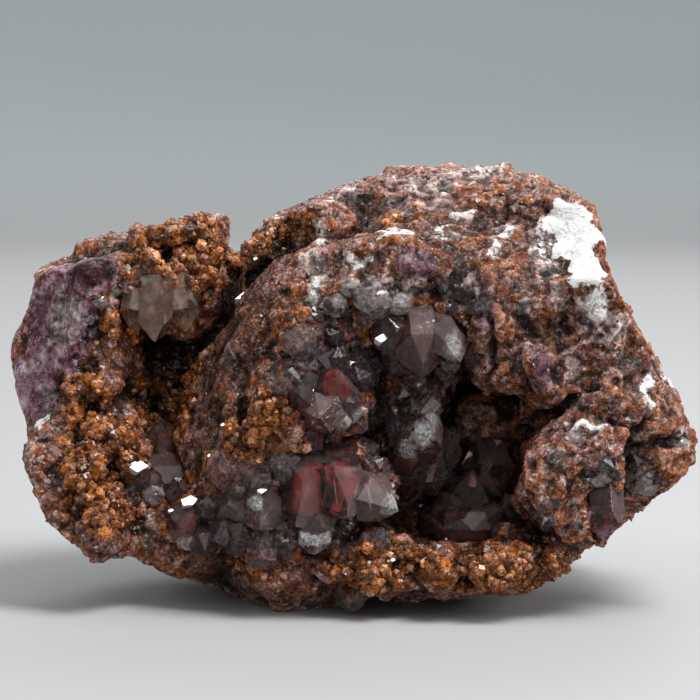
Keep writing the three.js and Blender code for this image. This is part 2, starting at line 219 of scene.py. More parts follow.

# Where each stain, and each spot of painted shade, lies: middle and half size of an ellipsoid, in mm,
# and how strong it is.
STAINS = {
    "white": [
        ((29.4, -11.2, 52.0), (3.8, 7, 3.2), 1.0), ((30.6, -13.2, 49.5), (3.3, 7, 3.8), 1.0),
        ((31.2, -16.5, 46.4), (3.0, 7, 3.8), 1.0), ((33.0, -19.5, 43.4), (1.7, 5, 3.0), 0.45),
        ((33.4, -20.5, 40.0), (1.4, 5, 2.4), 0.34), ((43.4, -15, 30.3), (2.4, 4, 1.2), 0.44),
        ((18.3, -0.3, 58.6), (3.4, 4, 0.9), 0.45), ((5.9, -14.6, 50.3), (3.4, 5, 1.1), 0.4),
        ((12.2, -11.6, 51), (2.6, 4, 0.8), 0.38), ((15.4, -8.8, 52.5), (3.0, 4, 1.3), 0.4),
        ((20.8, -12, 50.4), (2.8, 4, 2.3), 0.36), ((19.0, -16, 47.9), (1.2, 4, 2.4), 0.42),
        ((-4.1, -9, 50), (1.5, 3, 2.3), 0.38), ((0.8, -16.8, 47), (2.2, 3, 1.3), 0.38),
        ((-4.6, -17.9, 43.6), (1.4, 3, 1.6), 0.4), ((31.8, -23.4, 26.3), (4.4, 3, 1.0), 0.46),
        ((39.8, -19.5, 29.3), (1.2, 3, 3.0), 0.44), ((36.6, -22.6, 25.6), (1.6, 3, 0.7), 0.42),
        ((26.0, -14.4, 48.6), (2.0, 5, 4.6), 0.27), ((32.4, -20, 41.4), (2.6, 5, 3.6), 0.34),
        ((-41.6, -12, 24), (0.9, 4, 3.6), 0.46),
    ],
    "milky": [
        ((25.8, -15, 48), (2.6, 7, 5.6), 1.0), ((32, -19, 41), (3.0, 6, 4.0), 0.8),
        ((27.5, -18, 42.5), (2.4, 6, 3.0), 0.6), ((21.0, -11.5, 50.8), (2.4, 5, 1.8), 0.75),
        ((19.2, -15.6, 48), (1.1, 5, 2.2), 1.0), ((5.9, -14.6, 50.3), (3.0, 6, 0.9), 1.0),
        ((9.4, -14, 49.6), (1.8, 6, 0.5), 0.5), ((12.0, -11.6, 51), (2.0, 4, 0.8), 0.8),
        ((15.2, -8.8, 52.4), (2.6, 5, 1.2), 1.0), ((11.0, -3.5, 56.5), (4.6, 5, 1.4), 0.9),
        ((6.8, -6.2, 54.6), (3.0, 4, 1.0), 0.8), ((-4.1, -9, 50), (1.5, 4, 2.6), 0.9),
        ((0.8, -16.8, 47), (2.2, 4, 1.3), 1.0), ((-4.6, -17.9, 43.6), (1.4, 4, 1.7), 1.0),
        ((3.3, -19.6, 42.4), (4, 4, 4.2), 1.0), ((7.8, -19.6, 43.4), (3.4, 4, 3.0), 0.9),
        ((15, -17, 43.2), (3.6, 4, 3.8), 0.85), ((23.2, -19.6, 40.6), (2.6, 4, 2.2), 0.7),
        ((34.5, -20.5, 38), (3.4, 5, 5), 0.6), ((36.5, -16, 34), (2.4, 5, 3), 0.55),
        ((-39, -10, 39), (3.6, 6, 6), 0.55), ((32.9, -24, 19.4), (2.6, 3, 2), 0.8),
        ((39.3, -19.2, 18.2), (3.2, 4, 2.2), 0.8), ((44.6, -17, 22.4), (1.4, 5, 3), 0.8),
        ((-4.5, -17.2, 44.5), (2.2, 3, 3), 0.6), ((32.2, -23.4, 26.2), (4.0, 3, 1.3), 1.0),
        ((39.6, -19.5, 29.1), (1.4, 3, 3.0), 1.0), ((-0.3, -4.1, 55.6), (2.6, 3, 1.2), 0.9),
        ((18, 0, 58), (5, 5, 1.6), 0.9), ((-41.6, -12, 25), (1.1, 4, 5), 1.0),
        ((-31, -11, 42), (1.5, 3, 3), 0.8), ((-12.5, -13, 39.5), (1.5, 3, 1.2), 0.8),
        ((-5.2, -15.6, 47), (1.8, 3, 1.8), 0.8), ((-16.4, -14, 35), (1.4, 3, 2.4), 0.7),
        ((29, -18, 34), (2.2, 4, 2.2), 0.5), ((38, -22, 24), (1.2, 3, 1.6), 0.6),
        ((26.4, -26, 22), (2.0, 3, 1.6), 0.6), ((-28, -15.5, 15.5), (1.6, 3, 2.2), 0.7),
    ],
    "purple": [
        ((-39.5, -8, 38), (7, 12, 9), 1.0), ((-35.2, -10, 44.6), (4.6, 8, 3.0), 1.0),
        ((-42.5, -6, 30), (5, 14, 8), 0.8), ((9.2, -19, 46.6), (3.2, 4, 3.0), 0.9),
        ((17.5, -18.5, 39.5), (2.6, 4, 3.0), 0.8), ((25.5, -20.5, 33), (2.4, 4, 3.0), 0.6),
        ((10, 24, 30), (16, 9, 12), 0.5), ((-30, 16, 30), (12, 9, 9), 0.6),
    ],
    "rust": [
        ((-22.5, -6, 46.5), (9, 9, 8), 1.0), ((-26.5, -10, 37), (6, 5, 4), 1.0),
        ((-34.8, -12, 38), (2.6, 5, 4), 0.8), ((-11.5, -7, 48.5), (5, 7, 5), 1.0),
        ((-33, -17, 19), (7, 10, 12), 1.0), ((-36, -12, 29), (4, 6, 5), 0.8),
        ((-25, -3, 26), (7, 12, 12), 0.9), ((-13.6, -21, 24.6), (4.4, 5, 5), 1.0),
        ((-8.2, -21, 38.4), (4.4, 5, 2.8), 1.0), ((-9.5, -22, 29), (4, 5, 5), 0.8),
        ((-1.5, -22, 35.6), (5, 5, 1.6), 0.7), ((-8, -23.5, 21.6), (5, 4, 1.8), 0.8),
        ((4.6, -19, 29), (3, 5, 3.6), 0.6), ((-14, -12.6, 41), (3, 6, 4), 0.6),
        ((3, -26, 7.5), (9, 8, 4.6), 1.0), ((20, -24, 7), (15, 9, 4.4), 0.95),
        ((20, 0, 24.4), (6, 8, 5), 1.0), ((-12, -18, 8), (8, 9, 4.4), 0.75),
        ((21, -7, 54), (7, 5, 2.0), 0.42), ((-6, -7, 52), (3, 6, 4), 0.6),
        ((5, -11, 52.6), (7, 4, 1.6), 0.6), ((0, 22, 24), (22, 12, 12), 0.6),
        ((-20, 12, 44), (12, 9, 6), 0.8),
    ],
    # The dark spots are partly the rock's own dark tone and partly painted shade, in its pockets and in
    # the gaps of its lower rim.
    "dark_and_shade": [
        ((12.6, -6, 31), (2.8, 14, 14), 0.85), ((14, -24, 9), (3, 4, 1.6), 0.9),
        ((24, -22, 10.6), (5, 4, 1.3), 0.8), ((-4, -23.6, 8.6), (5, 3, 1.2), 0.8),
        ((17, -4, 15), (9, 14, 5), 0.5), ((-35, -12, 45.4), (5.4, 6, 2.8), 1.0),
        ((-25, 1, 32), (8, 12, 5), 0.85), ((-27, -3, 24), (4, 9, 8), 0.5),
        ((12, -12, 14), (10, 8, 7), 0.5), ((14.5, -20.8, 37), (3, 5, 4), 0.65),
        ((-2.4, -18.8, 39.4), (4, 5, 1.6), 0.75), ((13, -17.5, 47.6), (2.0, 4, 2.2), 0.6),
        ((-26, -16, 24), (3, 5, 4), 0.5), ((9.2, -19, 46.6), (3.0, 4, 3.0), 0.6),
        ((17.5, -18.5, 39.5), (2.6, 4, 3.0), 0.6), ((25.5, -20.5, 33), (2.4, 4, 3.0), 0.6),
    ],
    "glassy": [
        ((-2.4, -18.6, 41.4), (3.6, 4, 2.2), 1.0), ((3.3, -19.6, 42), (4.4, 4, 4), 0.8),
        ((15, -17, 43), (3.6, 4, 4), 0.6), ((32.9, -24, 19.4), (3, 3, 2.4), 1.0),
        ((39.3, -19.2, 18), (3.6, 4, 2.6), 1.0), ((44.6, -17, 22.4), (1.6, 4, 2.8), 0.8),
        ((25.2, -27, 15), (2.4, 3, 1.4), 0.9), ((-28, -17, 16), (2.4, 4, 3), 0.7),
    ],
    "wine": [
        ((-6, -23, 15), (17, 8, 8), 1.0), ((-3, -21, 31), (8, 8, 9), 1.0),
        ((8, -18, 34), (9, 8, 6), 1.0), ((7, -16, 23), (8, 9, 9), 1.0),
        ((-19, -19, 12), (6, 6, 5), 1.0), ((14, -12, 14), (9, 9, 7), 1.0),
    ],
    "lilac": [
        ((34, -20, 9), (5, 7, 7), 1.0), ((14, -20, 35), (3, 5, 4), 0.5),
    ],
    "smooth": [
        ((-14, -20, 4.5), (17, 9, 3.6), 1.0), ((-43.5, -10, 29), (3, 9, 9), 0.8),
    ],
    "streaks": [
        ((9, -4, 56), (20, 14, 7), 1.0), ((24, -4, 54), (9, 10, 6), 0.7),
        ((10, 8, 56), (18, 12, 5), 0.8), ((-23, -10, 7), (12, 8, 4), 0.5),
    ],
}
# The rock stands this far behind each crystal's own faces, in mm, so that it shows through them.
CRYSTAL_CORES = {
    "front_quartz_cluster": (0.2, 3.4, 1.0),
    "middle_quartz_cluster": (0.3, 3.0, -0.8),
    "roof_quartz_cluster": (0, 2.8, 1.6),
    "frosted_quartz_point": (-0.4, 1.4, -0.9),
    "right_amethyst_point": (0, 1.2, 3.4),
    "left_amethyst_points": (0, 2.2, 0.5),
    "foot_quartz_point": (0, 1.8, 0),
    "hanging_quartz_points": (0, 1.0, 2.6),
    "central_pocket_quartz": (0, 1.2, -1.9),
    "left_pocket_quartz": (0, 1.4, -1.4),
}
# Rounded masses that stand in the central pocket: middle and half size, in mm.
POCKET_MASSES = [
    ((21.0, -12.5, 33.5), (5.5, 8, 5.0)),
    ((19.5, -2, 23.8), (6.5, 5.5, 4.6)),
]
# Open seams between the lobes at the right, as (x, z) along each, in mm. Only the front has them.
SEAMS = [
    [(32.4, 31), (29, 28.6), (27.2, 27.2), (23.6, 24.2)],
    [(40, 26.8), (37.6, 24.6), (36.4, 21.4)],
    [(18.4, 39.5), (19, 35.5), (18.2, 31)],
]
SEAM_FRONT = -8
SEAM_HALF_WIDTH = 0.8
SEAM_DEPTH = 1.5
# The striated slope between the two pockets leans from upright, and its stripes lean farther.
FIN_LEAN, STRIPE_LEAN = math.radians(18), math.radians(33)
FIN_MIDDLE, FIN_HALF = (-24.3, -13, 31), (5.6, 10, 22)
# Rock inside a crystal stays this far below its faces, and rock outside stays this near them, in mm.
GLASS_COVER = 0.7
MOST_PROUD = 0.35
# A stain fades over the outer part of its ellipsoid, and lumps have gaps this wide between them.
STAIN_STEEPNESS = 2.2
LUMP_GAP = 0.12
SAME_PLACE = 0.001 * MM


def held_in(value, low=0.0, high=1.0):
    """A value kept from low to high."""
    return max(low, min(high, value))


def near(place, middle, half):
    """From 1 at the middle of an ellipsoid to 0 at its skin and outside."""
    away = math.sqrt(sum(((p - m) / h) ** 2 for p, m, h in zip(place, middle, half)))
    return held_in(STAIN_STEEPNESS * (1 - away))


def along_seam(place):
    """How close a place on the front is to an open seam, from 0 to 1."""
    if place.y > SEAM_FRONT:
        return 0
    closest = math.inf
    here = Vector((place.x, place.z)) + 0.5 * noise.noise_vector(place / 1.6).xz
    for seam in SEAMS:
        for a, b in zip(seam, seam[1:]):
            a, b = Vector(a), Vector(b)
            t = held_in((here - a).dot(b - a) / (b - a).length_squared)
            closest = min(closest, (a + t * (b - a) - here).length)
    return max(0, 1 - closest / SEAM_HALF_WIDTH)


def lumps(place, size):
    """Rounded lumps of a size, in mm, with sharp gaps, from about -0.5 in the gaps to 0.5 on top."""
    nearest, second = noise.voronoi(place / size)[0][:2]
    return 0.5 - nearest - 0.5 * max(0, LUMP_GAP - (second - nearest)) / LUMP_GAP


def chips(place, size):
    """Broken flats of a size, in mm: each patch is a plane with a tilt and a height of its own."""
    seat = noise.voronoi(place / size)[1][0]
    roll = 2 * noise.cell_vector(seat * 7.3) - Vector((1, 1, 1))
    return (place / size - seat).dot(roll) + 0.4 * roll.z


def merged_copy(node):
    """The shape of a CAD node as a bmesh with its corners merged."""
    form = bmesh.new()
    form.from_mesh(nodes[node].data)
    bmesh.ops.remove_doubles(form, verts=form.verts, dist=SAME_PLACE)
    return form


def add_form(whole, part):
    """Adds a bmesh to another one and frees it."""
    part.to_mesh(scrap := bpy.data.meshes.new("scrap"))
    part.free()
    whole.from_mesh(scrap)
    bpy.data.meshes.remove(scrap)


def modified(mesh, kind, **settings):
    """What a modifier makes of a mesh."""
    held = bpy.data.objects.new("held", mesh)
    in_scene.link(held)
    modifier = held.modifiers.new("modifier", kind)
    for name, value in settings.items():
        setattr(modifier, name, value)
    made = bpy.data.meshes.new_from_object(held.evaluated_get(bpy.context.evaluated_depsgraph_get()))
    bpy.data.objects.remove(held)
    return made


def new_piece(name, slot, mesh, material, *stands_for):
    """A piece of this mesh and material, which rides with the specimen and stands for these solids."""
    mesh.name = name
    mesh.materials.clear()
    mesh.materials.append(material)
    piece = bpy.data.objects.new(name, mesh)
    in_scene.link(piece)
    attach(piece, "root")
    if stands_for:
        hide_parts(*stands_for)


def remeshed_rock():
    """The rock with an even fine mesh, before it is roughened. It reaches into each crystal's foot."""
    form = merged_copy("barite_matrix")
    for node, step in CRYSTAL_CORES.items():
        core = merged_copy(node)
        bmesh.ops.translate(core, verts=core.verts, vec=Vector(step) * MM)
        add_form(form, core)
    for middle, half in POCKET_MASSES:
        mass = bmesh.new()
        bmesh.ops.create_icosphere(mass, subdivisions=3, radius=1)
        bmesh.ops.scale(mass, verts=mass.verts, vec=Vector(half) * MM)
        bmesh.ops.translate(mass, verts=mass.verts, vec=Vector(middle) * MM)
        add_form(form, mass)
    rough = bpy.data.meshes.new("rough_rock")
    form.to_mesh(rough)
    form.free()
    return modified(rough, "REMESH", mode="VOXEL", voxel_size=ROCK_VOXEL)


def crystal_faces():
    """A search tree over the faces of all the crystals."""
    form = bmesh.new()
    for node in CRYSTAL_CORES:
        add_form(form, merged_copy(node))
    bmesh.ops.triangulate(form, faces=form.faces)
    form.normal_update()
    tree = BVHTree.FromBMesh(form)
    form.free()
    return tree


def leaned(place, lean):
    """A place measured across, behind and along a direction that leans to the right."""
    return Vector((place.x * math.cos(lean) - place.z * math.sin(lean), place.y,
                   place.x * math.sin(lean) + place.z * math.cos(lean)))


def relief_at(p, stain, fin):
    """How far the rock stands out at a place, in mm."""
    torn = p + 1.3 * noise.noise_vector(p / 2.4)
    rust, white, purple, wine = stain["rust"], stain["white"], stain["purple"], stain["wine"]
    behind = held_in((p.y - 8) / 8)
    left = held_in((-8 - p.x) / 8)
    low = held_in((11 - p.z) / 4)
    calm = (1 - 0.75 * fin) * (1 - 0.7 * white) * (1 - 0.6 * purple) * (1 - 0.8 * stain["smooth"])
    plain = (1 - rust) * calm * (1 - 0.5 * wine)
    # Broad swells, then the rounded rusty lumps in three sizes, with holes under them near the foot.
    height = 0.55 * noise.fractal(p / 8, 0.9, 2.1, 2)
    height += rust * (1 + 1.2 * left) * 1.2 * lumps(torn, 5.2)
    height += rust * ((0.9 + 0.4 * left) * lumps(torn + Vector((3, 8, 1)), 2.2) + 0.5 * lumps(p, 1.15))
    height -= 3 * low * rust * max(0, noise.noise(torn / 3.4 + Vector((6, 1, 8))) - 0.05)
    # Fine roughness where the rock is plain, and broken flats in three sizes.
    height += plain * (1 - 0.4 * stain["streaks"]) * (0.3 * noise.fractal(torn / 3.4, 0.8, 2.2, 4))
    height += plain * (0.1 * lumps(torn, 1.4) + 0.3 * lumps(torn + Vector((5, 1, 7)), 4.2))
    height += 1.1 * wine * (1 - rust) * chips(torn, 3.1)
    height += (0.4 + 1.0 * behind) * (1 - rust) * calm * chips(torn, 5.5)
    height += 0.3 * (1 - rust) * calm * chips(p, 2.1)
    # Pits, stripes on the fin, and the open seams.
    height -= 1.9 * max(0, noise.noise(torn / 2.6 + Vector((9, 4, 2))) - 0.35) * calm
    height -= 1.4 * rust * max(0, noise.noise(torn / 2.9 + Vector((2, 7, 5))) - 0.2)
    stripes = leaned(p, STRIPE_LEAN)
    height += 0.6 * fin * noise.noise(Vector((stripes.x / 0.6, p.y / 4, stripes.z / 7)))
    return height + 0.4 * white + 0.5 * stain["milky"] * lumps(torn, 2.6) - SEAM_DEPTH * along_seam(p)


def roughen(form, glass):
    """Moves the rock's skin in and out, clear of the crystals, and returns what lies at each point."""
    for _ in range(ROCK_SMOOTHING):
        bmesh.ops.smooth_vert(form, verts=form.verts, factor=0.5, use_axis_x=True, use_axis_y=True,
                              use_axis_z=True)
    form.normal_update()
    kinds = {name: [] for name in (*STAINS, "behind_glass", "rim", "fin")}
    for vert in form.verts:
        p = vert.co / MM
        torn = p + 1.5 * noise.noise_vector(p / 2.5)
        stain = {name: max(near(torn, m, h) * s for m, h, s in spots) for name, spots in STAINS.items()}
        fin = near(leaned(p, FIN_LEAN), FIN_MIDDLE, FIN_HALF)
        stain["rust"] *= 1 - 0.85 * fin
        # Depth is how far inside a crystal the skin lies, in mm, and it is below 0 outside.
        face, facing, _, gap = glass.find_nearest(vert.co)
        depth = math.copysign(gap, (face - vert.co).dot(facing)) / MM
        buried = held_in(0.5 + depth / 0.5)
        height = relief_at(p, stain, fin) * (1 - buried) + 0.5 * buried * (chips(p, 1.7) - 0.4)
        height = min(height, MOST_PROUD + 0.7 * max(0, -depth))
        if depth > 0:
            height -= max(0, GLASS_COVER - depth)
        vert.co += vert.normal * height * MM
        vert.co.z = max(vert.co.z, 0)
        rim = max(0, 1 - abs(depth + 0.4) / 1.3)
        for name, value in (*stain.items(), ("behind_glass", buried), ("rim", rim), ("fin", fin)):
            kinds[name].append(value)
    return kinds


def cloud(place, size, detail, roughness=0.5):
    """Soft noise of a size in mm."""
    made = shader_node(place.id_data, "TexNoise")
    feed(made, Vector=place, Scale=1 / (size * MM), Detail=detail, Roughness=roughness)
    return made.outputs["Fac"]


def maths(operation, *values, kind="Math", output="Value"):
    """What a maths node makes of these values, the first of which comes from another node."""
    made = shader_node(values[0].id_data, kind, operation=operation)
    for value, socket in zip(values, made.inputs):
        plug(value, socket)
    return made.outputs[output]


def vectors(operation, *values, output="Vector"):
    """The same for places and directions."""
    return maths(operation, *values, kind="VectorMath", output=output)


def times(a, b):
    """One value or share of another."""
    return maths("MULTIPLY", a, b)


def blend(share, under, over, kind="MIX"):
    """One colour over another, by a share from 0 to 1."""
    giver = under if isinstance(under, bpy.types.NodeSocket) else share
    made = shader_node(giver.id_data, "Mix", data_type="RGBA", blend_type=kind)
    for index, value in ((0, share), (6, under), (7, over)):
        plug((*value, 1) if isinstance(value, tuple) else value, made.inputs[index])
    return made.outputs[2]


def raised(height, strength, depth):
    """The way a skin faces that a pattern raises by up to a depth in mm."""
    made = shader_node(height.id_data, "Bump")
    return feed(made, Height=height, Strength=strength, Distance=depth * MM).outputs["Normal"]


def rock_stone():
    """Red-brown iron-stained quartz crust over pale barite, with glinting grains."""
    stone, shader, place = new_material("rusty_druse_on_barite")
    tree = stone.node_tree

    def attribute(name):
        return shader_node(tree, "Attribute", attribute_name=name).outputs["Fac"]

    def stretched(x, y, z, turn):
        """The place turned about the depth axis, then in units of x, y and z."""
        turned = shader_node(tree, "VectorRotate", rotation_type="Y_AXIS")
        return vectors("DIVIDE", feed(turned, Vector=place, Angle=turn).outputs["Vector"], (x, y, z))

    def cells(size, feature="F1"):
        made = shader_node(tree, "TexVoronoi", feature=feature)
        return feed(made, Vector=place, Scale=1 / (size * MM)).outputs

    torn = maths("SUBTRACT", cloud(place, 1.3, 5, 0.65), 0.5)

    def edge(name, raggedness=1.4, low=0.3, high=0.5):
        """A stain's share, with a ragged edge."""
        return span(maths("ADD", attribute(name), times(torn, raggedness)), low, high)

    patches = cloud(place, 5.5, 3)
    coarse = cloud(place, 1.3, 6, 0.72)
    fine = cloud(place, 0.55, 4, 0.6)
    red_brown = ramp(coarse, [(0.3, (0.03, 0.011, 0.007)), (0.41, (0.11, 0.039, 0.023)),
                              (0.5, (0.2, 0.079, 0.049)), (0.6, (0.3, 0.142, 0.098)),
                              (0.72, (0.5, 0.32, 0.26))])
    mauve = ramp(coarse, [(0.32, (0.022, 0.012, 0.012)), (0.44, (0.09, 0.048, 0.045)),
                          (0.55, (0.19, 0.12, 0.113)), (0.68, (0.38, 0.29, 0.27))])
    orange = ramp(coarse, [(0.3, (0.028, 0.01, 0.004)), (0.42, (0.135, 0.044, 0.016)),
                           (0.52, (0.29, 0.105, 0.04)), (0.62, (0.46, 0.2, 0.09)),
                           (0.75, (0.7, 0.44, 0.28))])
    purple = ramp(cloud(place, 2.3, 6, 0.66), [
        (0.32, (0.055, 0.015, 0.028)), (0.43, (0.15, 0.06, 0.085)), (0.52, (0.26, 0.15, 0.18)),
        (0.6, (0.42, 0.31, 0.33)), (0.7, (0.7, 0.62, 0.62))])
    milky = ramp(cloud(place, 0.9, 6, 0.72), [(0.32, (0.08, 0.05, 0.045)), (0.43, (0.27, 0.2, 0.185)),
                                              (0.53, (0.5, 0.4, 0.37)), (0.66, (0.78, 0.7, 0.67))])
    soft = cloud(place, 1.6, 5, 0.65)
    deep = ramp(soft, [(0.32, (0.008, 0.003, 0.004)), (0.46, (0.055, 0.013, 0.014)),
                       (0.58, (0.16, 0.04, 0.032)), (0.74, (0.28, 0.14, 0.11))])
    lilac = ramp(soft, [(0.35, (0.1, 0.03, 0.05)), (0.6, (0.34, 0.2, 0.24))])
    deep = blend(times(attribute("rust"), 0.7), deep, orange)
    deep = blend(attribute("lilac"), deep, lilac)
    cracked = maths("ADD", cells(3.4, "DISTANCE_TO_EDGE")["Distance"], times(fine, 0.12))
    chalk = ramp(cloud(place, 0.8, 5, 0.6), [(0.3, (0.5, 0.47, 0.45)), (0.44, (0.86, 0.85, 0.84))])
    white = blend(span(cracked, 0.05, 0.085, 0.55, 0.0), chalk, (0.42, 0.33, 0.29))

    # The stains, from the most common to the rarest.
    colour = blend(span(patches, 0.48, 0.66, 0.0, 0.5), red_brown, orange)
    colour = blend(span(cloud(place, 2.8, 4, 0.6), 0.49, 0.57, 0.0, 0.75), colour, mauve)
    colour = blend(span(cloud(place, 1.5, 5, 0.65), 0.57, 0.63, 0.0, 0.75), colour, milky)
    colour = blend(edge("rust", 1.0, 0.2), colour, orange)
    colour = blend(span(attribute("rim"), 0.1, 0.8, 0, 0.8), colour, orange)
    colour = blend(times(edge("wine"), 0.85), colour, deep)
    colour = blend(edge("purple"), colour, purple)
    band = cloud(stretched(4.2, 4.2, 1.1, -0.15), 1, 5, 0.65)
    band_share = times(attribute("streaks"), span(fine, 0.35, 0.6, 0.45, 1.0))
    colour = blend(times(span(band, 0.47, 0.6), times(band_share, 0.75)), colour, (0.47, 0.3, 0.26))
    colour = blend(times(span(band, 0.57, 0.66), band_share), colour, (0.68, 0.6, 0.58))
    colour = blend(times(edge("milky", 2.2), 0.85), colour, milky)
    fibres = span(cloud(stretched(0.35, 3, 5, STRIPE_LEAN), 1, 3, 0.6), 0.38, 0.64, 0.3, 1.7)
    striped = blend(1.0, blend(0.62, colour, (0.07, 0.024, 0.013)), fibres, "MULTIPLY")
    colour = blend(times(attribute("fin"), 0.9), colour, striped)

    # Pale specks and dark pores, from one to a few tenths of a millimetre.
    specks = span(cloud(place, 0.36, 3, 0.55), 0.53, 0.62)
    specks = times(specks, span(cloud(place, 2.6, 4, 0.6), 0.38, 0.6, 0.05, 0.65))
    specks = times(specks, span(attribute("rust"), 0, 1, 0.95, 0.4))
    colour = blend(specks, colour, (0.52, 0.4, 0.37))
    # Painted shade and highlight: besides the random pores, the colour is darkened in crevices and
    # hollows and made a little lighter on peaks.
    for shade in (span(cloud(place, 0.7, 4, 0.65), 0.36, 0.47, 0.3, 1.0),
                  span(attribute("crevice"), -0.14, 0.12, 1.3, 0.4),
                  span(attribute("hollow"), -0.3, 0.9, 1.15, 0.18)):
        colour = blend(1.0, colour, shade, "MULTIPLY")
    # Painted shade: the dark spots are multiplied to near black, partly for the rock's own dark tone
    # and partly for shade in its pockets.
    colour = blend(attribute("dark_and_shade"), colour, blend(1.0, colour, (0.08, 0.035, 0.04), "MULTIPLY"))
    richer = feed(shader_node(tree, "HueSaturation"), Saturation=1.2, Value=0.95, Color=colour)
    colour = blend(edge("white", 1.5, high=0.42), richer.outputs["Color"], white)
    colour = blend(attribute("behind_glass"), colour, deep)

    # Each grain has a face of its own that catches the light.
    grains = cells(0.42)["Color"]
    height = maths("ADD", times(fine, 0.6), times(cloud(place, 0.26, 3, 0.6), 0.35))
    height = maths("SUBTRACT", height, times(cells(0.8)["Distance"], 0.3))
    facing = raised(height, 1.0, 0.4)
    tilt = vectors("MULTIPLY_ADD", grains, (1.1, 1.1, 1.1), (-0.55, -0.55, -0.55))
    glinting = feed(shader_node(tree, "SeparateColor"), Color=grains).outputs["Red"]
    feed(shader, Base_Color=colour, Roughness=span(fine, 0.35, 0.65, 0.75, 0.4), Normal=facing,
         Specular_IOR_Level=0.12, Coat_Roughness=0.06,
         Coat_Weight=times(span(glinting, 0.66, 0.7), span(attribute("dark_and_shade"), 0, 1, 1, 0.3)),
         Coat_Normal=vectors("NORMALIZE", vectors("ADD", facing, tilt)))
    return stone


def arrays_of(mesh):
    """The places and normals of a mesh's corners, and the two ends of its edges."""
    places = np.empty(len(mesh.vertices) * 3, np.float32)
    mesh.vertices.foreach_get("co", places)
    normals = np.empty(len(mesh.vertices) * 3, np.float32)
    mesh.vertices.foreach_get("normal", normals)
    ends = np.empty(len(mesh.edges) * 2, np.int32)
    mesh.edges.foreach_get("vertices", ends)
    return places.reshape(-1, 3), normals.reshape(-1, 3), ends.reshape(-1, 2)


def hollows(mesh, passes):
    """How far each corner lies under its smoothed surroundings, in mm. Peaks are below 0."""
    co, normal, ends = arrays_of(mesh)
    neighbours = np.bincount(ends.ravel(), minlength=len(co))[:, None]
    smooth = co.copy()
    for _ in range(passes):
        around = [np.bincount(ends[:, 0], smooth[ends[:, 1], axis], len(co))
                  + np.bincount(ends[:, 1], smooth[ends[:, 0], axis], len(co)) for axis in range(3)]
        smooth = 0.5 * smooth + 0.5 * np.stack(around, axis=1) / neighbours
    return ((smooth - co) * normal).sum(axis=1) / MM


skin = bmesh.new()
rock_mesh = remeshed_rock()
skin.from_mesh(rock_mesh)
rock_stains = roughen(skin, crystal_faces())
skin.to_mesh(rock_mesh)
skin.free()
rock_stains["crevice"] = hollows(rock_mesh, CREVICE_PASSES)
rock_stains["hollow"] = hollows(rock_mesh, HOLLOW_PASSES)
for stain, values in rock_stains.items():
    layer = rock_mesh.attributes.new(stain, "FLOAT", "POINT")
    layer.data.foreach_set("value", np.array(values, np.float32))
most_kept = MOST_TRIANGLES / (2 * len(rock_mesh.polygons))
rock_mesh = modified(rock_mesh, "DECIMATE", ratio=min(1, most_kept))
rock_mesh.shade_smooth()
new_piece("rock_surface", "rock", rock_mesh, rock_stone(), "barite_matrix")


# ---------------------------------------------------------------- see-through crystals
# Quartz and amethyst points that keep the shapes of their solids, with their edges just eased. Thin
# veils and a little frost cloud them, and some faces are painted grey as a painted reflection.

EDGE_EASE = 0.1 * MM
EASED_ANGLE = math.radians(12)
QUARTZ_IOR = 1.544
PALE_BODY = (0.72, 0.53, 0.5)
# Grey painted on faces picked by the way they face, as a painted reflection of the bright surroundings.
GREY_PAINTED_REFLECTION = (0.2, 0.14, 0.135)
FROST_STOPS = ((0.35, 0.11), (0.55, 0.46), (0.68, 0.85))


def clear_quartz(name, tint, density, haze, frosted=(), clouding=(0.52, 0.72), film_and_painted_reflection=GREY_PAINTED_REFLECTION,
                 body=PALE_BODY, dust=(1, 1, 1)):
    """
    See-through quartz that takes its tint from how far the light runs inside it. Haze is how milky
    its veils are, clouding is where in their noise they start and end, and frosted holds the middle
    and half size, in mm, of each frosted spot. The film tint is the grey painted on some faces, picked
    by the way they face, as a painted reflection; body is that of the other faces, and dust that of the
    frost.
    """
    quartz, shader, place = new_material(name)
    veils = span(cloud(place, 1.7, 5.0), *clouding, 0.0, haze)
    for middle, half in frosted:
        offset = vectors("SUBTRACT", place, Vector(middle) * MM)
        away = vectors("LENGTH", vectors("DIVIDE", offset, Vector(half) * MM), output="Value")
        ragged = maths("MULTIPLY_ADD", cloud(place, 0.8, 4.0), 1.6, away)
        veils = maths("MAXIMUM", veils, span(ragged, 1.5, 1.9, 1.0, 0.0))
    frost = ramp(cloud(place, 0.4, 3.0), [
        (stop, tuple(grey * c for c in dust)) for stop, grey in FROST_STOPS])
    facing = shader_node(quartz.node_tree, "NewGeometry").outputs["True Normal"]
    by_face = feed(shader_node(quartz.node_tree, "TexNoise"), Vector=facing, Scale=2.6, Detail=0.0)
    # Painted reflection: faces picked at random by the way they face are painted grey and let less
    # light through.
    painted_reflection_share = span(by_face.outputs["Fac"], 0.5, 0.66, 0.0, 0.3)
    feed(shader, Base_Color=blend(painted_reflection_share, blend(veils, body, frost), film_and_painted_reflection),
         Roughness=span(veils, 0, 1, 0.02, 0.5), IOR=QUARTZ_IOR,
         Transmission_Weight=times(span(veils, 0, 1, 0.975, 0.3), span(painted_reflection_share, 0, 1, 1, 0.5)),
         Normal=raised(cloud(place, 0.5, 4.0), 0.12, 0.05))
    inside = feed(shader_node(quartz.node_tree, "VolumeAbsorption"), Color=(*tint, 1), Density=density)
    feed(quartz.node_tree.nodes["Material Output"], Volume=inside.outputs["Volume"])
    return quartz


